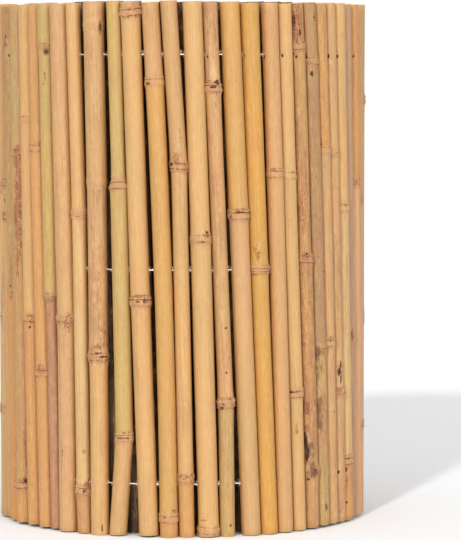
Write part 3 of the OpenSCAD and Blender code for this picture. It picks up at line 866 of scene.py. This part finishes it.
def bamboo_skin():
    m = Recipe("bamboo_skin")
    grain = m.field("grain", "Vector")
    tint = m.field("tint", "Color")
    fine = m.noise(m.stretched(grain, 1, 1, 0.06), 1500, 2)
    strand = m.noise(m.stretched(grain, 1, 1, 0.03), 560, 3)
    grit = m.noise(m.stretched(grain, 1, 1, 0.6), 1000, 2)
    fleck = m.noise(m.stretched(grain, 1, 1, 0.3), 560, 2)
    mottle = m.noise(m.stretched(grain, 1, 1, 0.45), 260, 3, 0.6)
    cloud = m.noise(m.stretched(grain, 1, 1, 0.3), 80, 3, 0.6)
    patch = m.noise(m.stretched(grain, 1, 1, 0.3), 22, 2)
    weather = m.field("weather")
    bloom = m.field("bloom")
    worn = weather.most(bloom * 0.8)
    streak = m.noise(m.stretched(grain, 1, 1, 0.018), 900, 2)
    dirt = (cloud * 0.55 + mottle * 0.45).rise(0.47, 0.6) * weather * weather
    base = m.blend(tint, colour(184, 128, 82), strand.rise(0.5, 0.75) * (0.2 + weather * 0.3))
    base = m.blend(base, colour(208, 172, 116), fine.rise(0.5, 0.7) * 0.3)
    base = m.blend(base, colour(174, 122, 86), cloud.rise(0.46, 0.66) * (0.14 + worn * 0.36))
    base = m.blend(base, colour(158, 136, 80), patch.rise(0.5, 0.68) * 0.2)
    base = m.blend(base, colour(206, 168, 120), mottle.rise(0.46, 0.3) * (0.12 + weather * 0.12))
    base = m.blend(base, colour(122, 86, 60), streak.rise(0.5, 0.64) * (0.08 + worn * 0.4))
    base = m.blend(base, colour(136, 98, 66), dirt * 0.5)
    base = m.blend(base, colour(108, 68, 46), (fleck + weather * 0.05).rise(0.65, 0.72) * (0.1 + worn * 0.4))
    base = m.blend(base, colour(96, 58, 36), (grit + weather * 0.07).rise(0.66, 0.74) * (0.12 + worn * 0.35))
    ragged = (mottle - 0.5) * 2.4 + (grit - 0.5) * 1.6 + (fleck - 0.5) * 1.2 + 0.5
    torn = (mottle - 0.5) * 3.0 + (grit - 0.5) * 3.4 + (fleck - 0.5) * 2.4 + 0.5
    base = m.blend(base, colour(162, 116, 80), (bloom * (ragged + 0.5)).rise(0.25, 0.95) * 0.5)
    base = m.blend(base, colour(168, 124, 86), (m.field("band") * (ragged * 0.5 + 0.75)).rise(0.2, 0.9) * 0.5)
    stain = (m.field("stain") * (ragged * 0.9 + (cloud - 0.5) * 2 + 0.5)).rise(0.15, 0.95)
    base = m.blend(base, colour(98, 70, 52), stain * 0.85)
    rust = (m.field("rust") * (torn + 0.6)).rise(0.25, 0.6)
    reddish = m.blend(colour(152, 94, 60), colour(100, 54, 36), (grit * 0.6 + streak * 0.4).rise(0.46, 0.6))
    base = m.blend(base, reddish, rust * 0.8)
    knot = (m.field("knot") * (ragged * 1.4 + 0.5)).rise(0.3, 0.9)
    base = m.blend(base, colour(98, 58, 38), knot * 0.8)
    bud = m.field("bud")
    base = m.blend(base, colour(112, 72, 48), bud.rise(0.06, 0.2) * 0.55)
    base = m.blend(base, colour(52, 32, 22), bud.rise(0.55, 0.8) * 0.9)
    fray = (m.field("fray") * (streak * 2.4 - 0.7 + ragged * 0.5)).rise(0.35, 0.9)
    base = m.blend(base, colour(204, 174, 130), fray * 0.55)
    soot = (m.field("soot") * (torn + 0.55)).rise(0.28, 0.55)
    base = m.blend(base, colour(42, 26, 20), soot * 0.88)
    # painted shade: drilled holes are painted near black, for the dark hollow seen through them
    shaded_hole = m.field("shaded_hole").rise(0.25, 0.6)
    base = m.blend(base, colour(26, 15, 10), shaded_hole * 0.97)
    height = fine * 0.3 + strand * 0.35 + mottle * 0.4 + grit * 0.25 - soot * 0.5
    height = height - fleck.rise(0.66, 0.73) * 0.3
    roughness = 0.44 + cloud * 0.14 + worn * 0.15 + soot * 0.2
    m.shade(Base_Color=base, Roughness=roughness, Normal=m.bump(height, 0.35, 0.0003))
    m.shade(Specular_IOR_Level=0.28)
    m.shade(Subsurface_Weight=0.2, Subsurface_Scale=0.002)
    m.shade(Subsurface_Radius=(1.0, 0.45, 0.2))
    return m.material


def bamboo_hollow():
    m = Recipe("bamboo_hollow")
    grain = m.field("grain", "Vector")
    tint = m.field("tint", "Color")
    strand = m.noise(m.stretched(grain, 1, 1, 0.03), 500, 3)
    cloud = m.noise(grain, 160, 3)
    base = m.blend(tint, colour(178, 128, 78), 0.65)
    base = m.blend(base, colour(112, 74, 44), strand.rise(0.4, 0.75) * 0.6)
    base = m.blend(base, colour(74, 50, 34), cloud.rise(0.55, 0.75) * 0.5)
    m.shade(Base_Color=base, Roughness=0.8, Normal=m.bump(strand + cloud * 0.4, 0.4, 0.0003))
    return m.material


def sawn_bamboo():
    m = Recipe("sawn_bamboo")
    grain = m.field("grain", "Vector")
    tint = m.field("tint", "Color")
    cells = {"Vector": m.stretched(grain, 1, 1, 0.02), "Scale": 1700.0}
    vessels = m.node("ShaderNodeTexVoronoi", cells, feature="F1")
    cloud = m.noise(grain, 260, 3)
    base = m.blend(tint, colour(222, 188, 132), 0.6)
    base = m.blend(base, colour(132, 92, 56), vessels.rise(0.42, 0.2) * 0.55)
    base = m.blend(base, colour(104, 72, 46), cloud.rise(0.55, 0.8) * 0.5)
    m.shade(Base_Color=base, Roughness=0.85, Normal=m.bump(vessels + cloud, 0.4, 0.0002))
    return m.material


def galvanised_wire():
    m = Recipe("galvanised_wire")
    where = m.node("ShaderNodeTexCoord", out="Object")
    spangle = m.noise(where, 900, 3)
    dull = m.noise(where, 120, 2)
    base = m.blend(colour(222, 224, 224), colour(158, 160, 160), spangle.rise(0.4, 0.7) * 0.5)
    base = m.blend(base, colour(196, 186, 170), dull.rise(0.5, 0.8) * 0.4)
    m.shade(Base_Color=base, Roughness=0.32 + spangle * 0.2, Normal=m.bump(spangle, 0.2, 0.0001))
    m.shade(Metallic=0.9)
    return m.material


# The roll
def grow_front_cane(number, points, rng):
    """A cane of the front row as the photo shows it, with splinters at its drilled holes and its frays."""
    cane = Cane(points, BENDS[number] * MM if number in BENDS else None)
    cane.bow = BOWS.get(number, 0.0) * MM
    cane.sway = rng.uniform(-0.6, 0.6) * MM
    words, rough = FRONT[number - 1]
    tones = [TONES[word[:-1]] for word in words.split()]
    levels = [int(word[-1]) / 9 for word in words.split()]
    rough = [int(n) / 9 for n in rough]
    marks = place_marks(cane, number)
    skin = grow(cane, rng, tones, levels, rough, FRONT_FINENESS, FRONT_SWELL, marks)
    spots = [(h, side, *HOLE_SPLINTERS) for h in WIRE_HEIGHTS for side in WIRE_SIDES]
    spots += [(m["z"], m["angle"], m["wide"], *FRAY_SPLINTERS) for m in marks if m["kind"] == "fray"]
    return [skin, splinters(cane, rng, spots)]


def grow_other_cane(points, rng):
    """A cane beside, behind or inside the front row, whose tones, weathering and marks are chance."""
    cane = Cane(points)
    outer = np.hypot(*((cane.foot + cane.head) / 2)[:2]) > OUTER_TURN_R
    cane.sway = rng.uniform(-0.5, 0.5) * MM
    start = TONES[OTHER_TONES[rng.integers(len(OTHER_TONES))]]
    tones = [start * rng.uniform(0.92, 1.06) * rng.uniform(0.97, 1.03, 3) for _ in cane.radii]
    levels = rng.uniform(0.1, 0.7, len(cane.radii))
    rough = rng.uniform(0.2, 0.9, len(cane.nodes))
    if outer:
        marks = chance_marks(cane, rng)
        return grow(cane, rng, tones, levels, rough, OUTER_FINENESS, OUTER_SWELL, marks)
    # the canes of the inner turns get painted shade on the side that faces out
    return grow(cane, rng, tones, levels, rough, INNER_FINENESS, INNER_SWELL, painted_shade_level=INNER_PAINTED_SHADE_LEVEL)


def dress_roll():
    """Replaces the canes of each node by one finer piece and gives the wires their zinc. Each node has its
    own draws of chance, by a number made of the letters of its name."""
    finishes = [bamboo_skin(), bamboo_hollow(), sawn_bamboo()]
    wire = galvanised_wire()
    for name, node in sorted(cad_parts.items()):
        if name.endswith("_wire"):
            node.data.materials.clear()
            node.data.materials.append(wire)
            continue
        rng = np.random.default_rng(sum((k + 3) * ord(c) for k, c in enumerate(name)))
        if name.startswith("front_cane"):
            grown = grow_front_cane(int(name[-2:]), shells(node)[0], rng)
        else:
            grown = [grow_other_cane(points, rng) for points in shells(node)]
        piece = make_piece("bamboo_" + name, grown, finishes)
        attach(piece, "root")
        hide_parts(name)


# Floor and light: how far the floor reaches, between which steepnesses of view the sky's light falls and
# from what to what, how far off the lights stand, and the height that they face
FLOOR_REACH = 40.0
SKY_FALL = (0.08, 0.35, 1.0, 0.7)
LIGHT_DISTANCE = 5.0
LIGHT_AIM = 0.25


def make_floor():
    m = Recipe("pale_floor")
    m.shade(Base_Color=(0.866, 0.872, 0.882, 1), Roughness=0.95)
    m.shade(Specular_IOR_Level=0.0)
    mesh = bpy.data.meshes.new("floor")
    far = FLOOR_REACH
    mesh.from_pydata([(-far, -far, 0), (far, -far, 0), (far, far, 0), (-far, far, 0)], [], [(0, 1, 2, 3)])
    mesh.materials.append(m.material)
    floor = bpy.data.objects.new("floor", mesh)
    bpy.context.scene.collection.objects.link(floor)


def make_world():
    """White at the horizon, falling to a softer grey-white overhead."""
    world = bpy.data.worlds.new("studio")
    world.use_nodes = True
    tree = world.node_tree
    where = tree.nodes.new("ShaderNodeTexCoord")
    split = tree.nodes.new("ShaderNodeSeparateXYZ")
    fall = tree.nodes.new("ShaderNodeMapRange")
    for socket, value in zip(list(fall.inputs)[1:5], SKY_FALL):
        socket.default_value = value
    tree.links.new(where.outputs["Generated"], split.inputs[0])
    tree.links.new(split.outputs["Z"], fall.inputs[0])
    tree.links.new(fall.outputs[0], tree.nodes["Background"].inputs["Strength"])
    tree.nodes["Background"].inputs["Color"].default_value = (1, 1, 1, 1)
    bpy.context.scene.world = world
    bpy.context.scene.view_settings.view_transform = "Standard"


def make_light(name, bearing, height, width, strength):
    """A wide even light from far away. Its bearing is in degrees to the right of the camera's side, its
    height in degrees above the floor, and its width is the angle that it fills."""
    data = bpy.data.lights.new(name, "SUN")
    data.angle = math.radians(width)
    data.energy = strength * math.pi
    bearing, height = math.radians(bearing), math.radians(height)
    level = math.cos(height)
    away = np.array([math.sin(bearing) * level, -math.cos(bearing) * level, math.sin(height)])
    side = np.array([math.cos(bearing), math.sin(bearing), 0.0])
    turned = np.eye(4)
    turned[:3, 0], turned[:3, 1], turned[:3, 2] = side, np.cross(away, side), away
    turned[:3, 3] = away * LIGHT_DISTANCE + np.array([0, 0, LIGHT_AIM])
    light = bpy.data.objects.new(name, data)
    light.matrix_world = Matrix(turned.tolist())
    bpy.context.scene.collection.objects.link(light)


make_camera()
dress_roll()
make_floor()
make_world()
make_light("left_light", bearing=-17.7, height=25, width=4, strength=0.62)
make_light("right_light", bearing=18, height=20, width=50, strength=0.58)
